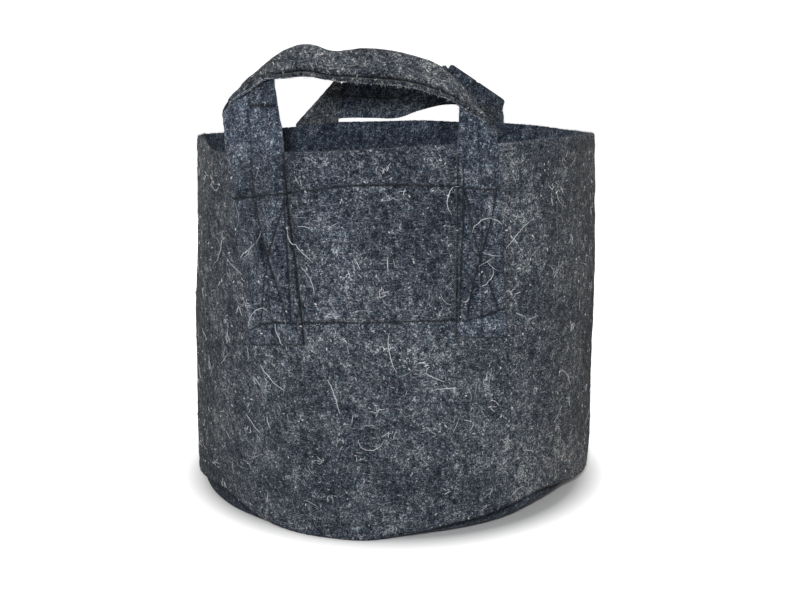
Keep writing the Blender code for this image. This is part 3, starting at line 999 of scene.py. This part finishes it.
def wisp_paths(rng, angle, height):
    """A tuft: several pale fibres that start close together and run much the same way."""
    paths = []
    heading = rng.uniform(0, tau)
    spread = rng.uniform(0.4, 1.1)
    for _ in range(rng.integers(3, 8)):
        state = rng.uniform(0, tau)
        shift = rng.normal(0, 0.0020, 2)
        length = rng.uniform(0.003, 0.010)
        steps = max(3, int(length / WISP_STEP))
        way = heading + rng.normal(0, spread)
        arc = RADIUS * math.radians(angle) + shift[0]
        level = height + shift[1]
        path = []
        for index in range(steps):
            hit, normal = surface_point(math.degrees(arc / RADIUS), level)
            if hit is None:
                break
            path.append(np.array(hit + normal * (0.0003 + 0.0003 * math.sin(state + index))))
            way += rng.normal(0, 0.32)
            arc += math.cos(way) * WISP_STEP
            level += math.sin(way) * WISP_STEP
        if len(path) > 2:
            paths.append((path, rng.uniform(0.00017, 0.00038) * tapered(path, 0.4, 0.3)))
    return paths


def build_tufts():
    rng = np.random.default_rng(25)
    paths = []
    for _ in range(170):
        paths += wisp_paths(rng, rng.uniform(0, 360), 0.335 - 0.315 * rng.random() ** 1.1)
    for _ in range(70):  # long single fibres
        length = 0.010 + 0.034 * rng.random() ** 1.6
        path = lint_path(rng, rng.uniform(0, 360), rng.uniform(0.05, 0.33), length, 28)
        if len(path) < 5:
            continue
        path = [point + rng.normal(0, 0.00015, 3) for point in path]
        paths.append((path, 0.00036 * tapered(path, 0.4, 0.3) * rng.uniform(0.7, 1.2, len(path))))
    return tubes("bag_tufts", paths, pale_fibre, 4)


def build_lint():
    rng = np.random.default_rng(21)
    paths = []
    for _ in range(430):
        angle, height = rng.uniform(0, 360), rng.uniform(0.016, 0.338)
        length = 0.003 + 0.021 * rng.random() ** 2.5
        path = lint_path(rng, angle, height, length, 45)
        if len(path) > 2:
            paths.append((path, rng.uniform(0.00010, 0.00022) * tapered(path, 0.5, 0.25)))
    return tubes("bag_lint", paths, pale_fibre, 4)


def build_specks():
    rng = np.random.default_rng(22)
    paths = []
    for _ in range(700):
        angle, height = rng.uniform(0, 360), rng.uniform(0.012, 0.342)
        hit, normal = surface_point(angle, height)
        if hit is None:
            continue
        along = np.cross(np.array(normal), rng.normal(0, 1, 3))
        along /= np.linalg.norm(along)
        size = rng.uniform(0.0006, 0.0013)
        middle = np.array(hit + normal * 0.0002)
        if rng.random() < 0.14:
            size *= 1.4
        girth = rng.uniform(0.00030, 0.00070) * (size / 0.0010) ** 0.5 * np.array([0.5, 1.0, 0.9, 0.4])
        shares = (-1, -0.3, 0.35, 1)
        paths.append(([middle + along * size * share + rng.normal(0, 0.00012, 3) for share in shares], girth))
    return tubes("bag_specks", paths, pale_fibre, 5)


def fuzz(name, seed, anchors, length, radius, material):
    """Short fibres standing off edge points, given as (point, direction)."""
    rng = np.random.default_rng(seed)
    paths = []
    for point, direction in anchors:
        way = np.asarray(direction, float) + rng.normal(0, 0.55, 3)
        way /= np.linalg.norm(way)
        side = np.cross(way, rng.normal(0, 1, 3))
        side /= np.linalg.norm(side)
        size = length * rng.uniform(0.35, 1.0) ** 1.5
        t = np.linspace(0, 1, 4)[:, None]
        path = np.asarray(point) + way * size * t + side * size * 0.5 * rng.uniform(-1, 1) * t**2
        paths.append((path, radius * rng.uniform(0.7, 1.2) * np.array([1.0, 0.9, 0.7, 0.3])))
    return tubes(name, paths, material, 3)


def build_edge_fuzz():
    """Fibres off the rim, upwards, and off the wall's lower edge, downwards."""
    rng = np.random.default_rng(31)
    anchors = []
    for angle in rng.uniform(0, 360, 2200):
        crest = float(rim_height(angle))
        radius = float(wall_radius(angle, crest)) - rng.uniform(0.0002, 0.0028)
        where = place(np.array(angle), radius, crest - 0.0003)
        anchors.append((where, place(np.array(angle), rng.uniform(-0.6, 0.6), 1.0)))
    for angle in rng.uniform(0, 360, 900):
        foot = float(wall_edge(angle))
        radius = float(wall_radius(angle, foot)) - rng.uniform(0.0002, 0.0020)
        where = place(np.array(angle), radius, foot + 0.0003)
        anchors.append((where, place(np.array(angle), 0.8, -rng.uniform(0, 0.6))))
    return fuzz("bag_edge_fuzz", 32, anchors, 0.0028, 0.00008, felt_fibre)


def strap_fuzz(name, seed, piece, count):
    """Fibres that stand off a strap's two edges and lie over its faces."""
    rng = np.random.default_rng(seed)
    vertices = piece.data.vertices
    around = 2 * COLUMNS
    edge_columns = [0, 1, COLUMNS - 2, COLUMNS - 1]
    anchors = []
    for _ in range(count):
        row = rng.integers(2, len(vertices) // around - 2)
        column = rng.choice(edge_columns) if rng.random() < 0.65 else rng.integers(0, around)
        vertex = vertices[int(row * around + column)]
        direction = np.array(vertex.normal)
        anchors.append((np.array(vertex.co) - direction * 0.0002, direction))
    return fuzz(name, seed + 1, anchors, 0.0036, 0.00011, felt_fibre)


def build_lip_lint():
    """Pale fibres along the front grip's lip and over its outer face, thicker at the left shoulder."""
    rng = np.random.default_rng(51)
    vertices = front_strap.data.vertices
    lip_points = np.array([v.co[:] for v in vertices]).reshape(-1, 2 * COLUMNS, 3)[:, 0]
    anchors = []
    for point in rng.permutation(lip_points[lip_points[:, 2] > 0.372])[:170]:
        anchors.append((point, (rng.normal(0, 0.7), -0.5, -0.4)))
    faces_above = [v for v in vertices if v.co.z > 0.350 and v.normal.y < -0.3]
    left_faces = [v for v in faces_above if v.co.x < -0.066]
    for spots, count in ((faces_above, 60), (left_faces, 45)):
        for pick in rng.integers(0, len(spots), count):
            out = np.array(spots[pick].normal)
            for tilt in rng.normal(0, 1.6, (4, 3)):
                anchors.append((np.array(spots[pick].co) - out * 0.0002, out + tilt))
    return fuzz("front_handle_lint", 52, anchors, 0.0034, 0.00021, pale_fibre)


tufts, wall_lint, short_lint, edge_fuzz = build_tufts(), build_lint(), build_specks(), build_edge_fuzz()
front_fuzz = strap_fuzz("front_handle_fuzz", 41, front_strap, 1800)
back_fuzz = strap_fuzz("back_handle_fuzz", 43, back_strap, 1300)
lip_lint = build_lip_lint()

for piece in (tufts, wall_lint, short_lint, edge_fuzz):
    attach(piece, "bag")
for piece in (front_strap, front_fuzz, lip_lint):
    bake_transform(piece)
for piece in (back_strap, back_fuzz):
    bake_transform(piece)


# Stage

def build_floor(half=30, lift=-0.0002):
    """A pale floor that glows all round the bag, with a painted shadow: its glow fades out under the bag and
    close round it.
    """
    n = Nodes(bpy.data.materials.new("pale_floor"))
    position = n.add("ShaderNodeNewGeometry", {}).outputs["Position"]
    apart = n.add("ShaderNodeVectorMath", {0: position}, operation="LENGTH").outputs["Value"]
    material = n.surface(
        Base_Color=(0.86, 0.86, 0.86, 1.0), Roughness=0.9, Specular_IOR_Level=0.1,
        Emission_Color=(1.0, 1.0, 1.0, 1.0),
        # Painted shadow: no glow within 0.192 of the middle, full glow beyond 0.232
        Emission_Strength=n.span(apart, 0.192, 0.232, 0.0, 0.95))
    corners = [(-half, -half, lift), (half, -half, lift), (half, half, lift), (-half, half, lift)]
    floor = add_mesh("floor", corners, [(0, 1, 2, 3)], material, smooth=False)
    floor.visible_diffuse = False
    floor.visible_glossy = False


# How bright the studio is at each height of the sky, from straight down -1 to straight up 1
SKY = [(-0.30, 0.07), (-0.03, 0.08), (-0.015, 1.2), (0.055, 1.2), (0.09, 0.12), (1.0, 0.14)]
SKY_PEAK = 2.0  # brightness that a full step of the sky's ramp stands for


def build_sky():
    world = bpy.data.worlds.new("studio")
    bpy.context.scene.world = world
    n = Nodes(world)
    direction = n.add("ShaderNodeTexCoord", {}).outputs["Generated"]
    height = n.add("ShaderNodeSeparateXYZ", {0: direction}).outputs["Z"]
    stops = [((height + 1) / 2, (strength / SKY_PEAK,) * 3 + (1.0,)) for height, strength in SKY]
    brightness = n.math("MULTIPLY", n.ramp(n.span(height, -1.0, 1.0), stops), SKY_PEAK)
    n.fill(n.tree.nodes["Background"], {"Strength": brightness, "Color": (1.0, 1.0, 1.0, 1.0)})


# Square lamps: where, size, power and tint
LAMPS = {
    "key": ((0.115, -1.14, 0.485), 0.05, 8.0, (0.96, 0.98, 1.0)),
    "left": ((-1.6, -0.7, 0.8), 1.0, 2.0, (1.0, 0.92, 0.80)),
    "right": ((1.9, -0.6, 0.8), 1.0, 2.0, (1.0, 0.92, 0.80)),
    "rear_left": ((-1.3, 1.6, 0.5), 0.8, 13.0, (1.0, 0.97, 0.93)),
    "rear_right": ((1.3, 1.6, 0.5), 0.8, 13.0, (1.0, 0.97, 0.93)),
}
LAMP_TARGET = Vector((0, 0, 0.2))


def build_lamp(name, where, size, power, tint):
    data = bpy.data.lights.new(name, "AREA")
    data.shape, data.size, data.energy, data.color = "SQUARE", size, power, tint
    light = bpy.data.objects.new(name, data)
    light.location = where
    light.rotation_mode = "QUATERNION"
    light.rotation_quaternion = (LAMP_TARGET - Vector(where)).to_track_quat("-Z", "Y")
    light.visible_camera = False
    bpy.context.scene.collection.objects.link(light)


CAMERA = Vector((0.1477, -1.1219, 0.4228))
PITCH, HEADING, TURN = math.radians(12.18), math.radians(0.282), math.radians(7.5)


def build_camera():
    level = math.cos(PITCH)
    sight = Vector((math.sin(HEADING) * level, math.cos(HEADING) * level, -math.sin(PITCH)))
    sight = Vector((
        sight.x * math.cos(TURN) - sight.y * math.sin(TURN),
        sight.x * math.sin(TURN) + sight.y * math.cos(TURN), sight.z,
    ))
    lens = bpy.data.cameras.new("camera")
    lens.lens = 50
    lens.sensor_width = 36
    camera = bpy.data.objects.new("camera", lens)
    camera.location = CAMERA
    camera.rotation_mode = "QUATERNION"
    camera.rotation_quaternion = sight.to_track_quat("-Z", "Y")
    bpy.context.scene.collection.objects.link(camera)
    bpy.context.scene.camera = camera


build_floor()
build_sky()
for name, lamp in LAMPS.items():
    build_lamp(name, *lamp)
build_camera()
bpy.context.scene.view_settings.view_transform = "Standard"
